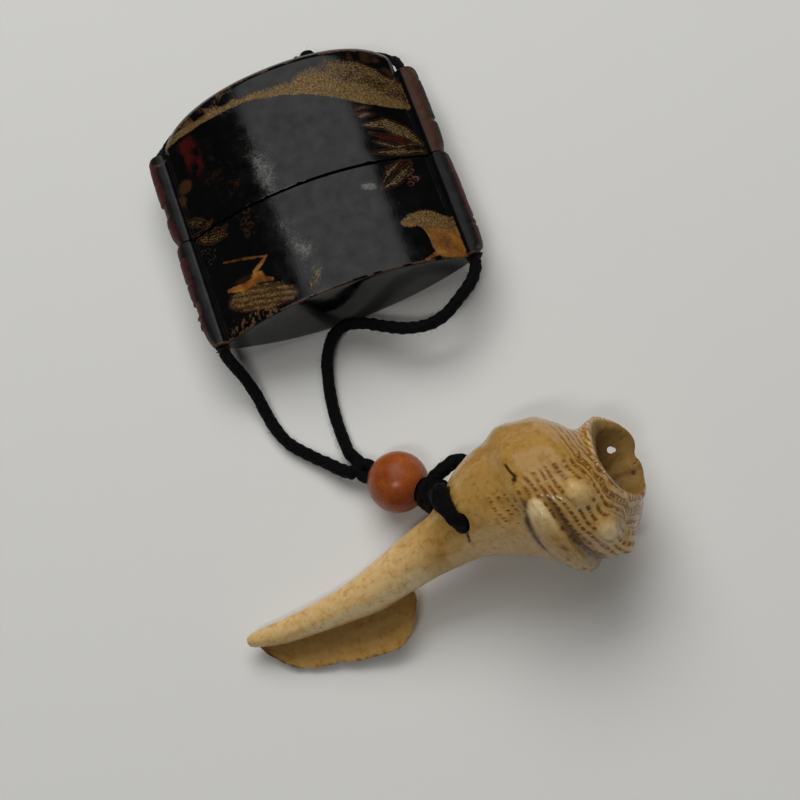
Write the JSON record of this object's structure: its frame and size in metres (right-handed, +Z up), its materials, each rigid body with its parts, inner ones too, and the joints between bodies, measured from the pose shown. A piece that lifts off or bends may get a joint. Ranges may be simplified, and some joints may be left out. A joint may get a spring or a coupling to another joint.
{
  "type": "inro case",
  "caption": "Lens-shaped black lacquer inro with a lift-off lid, lying on its back, strung on a black cord with a round bead and a carved-off sea shell as its toggle.",
  "frame": {"origin": "on the flat along the middle of the body's back, at the height of the surface it lies on", "axes": "+Z up from the surface it lies on, +Y from the lid towards the body's closed end, +X to the right seen from the cords' side"},
  "size_m": [0.0864, 0.1344, 0.0334],
  "materials": {
    "lacquer": "gloss",
    "bead": "satin",
    "shell": "satin",
    "cord": "matte"
  },
  "bodies": {
    "root": {"inro_body": "lacquer", "inro_lid": "lacquer", "bead": "bead", "shell_toggle": "shell", "cord_left": "cord", "cord_right": "cord", "cord_in_case_left": "cord", "cord_in_case_right": "cord", "cord_end_knot": "cord", "cord_in_bead": "cord", "toggle_knot": "cord", "toggle_loop": "cord"}
  },
  "joints": []
}
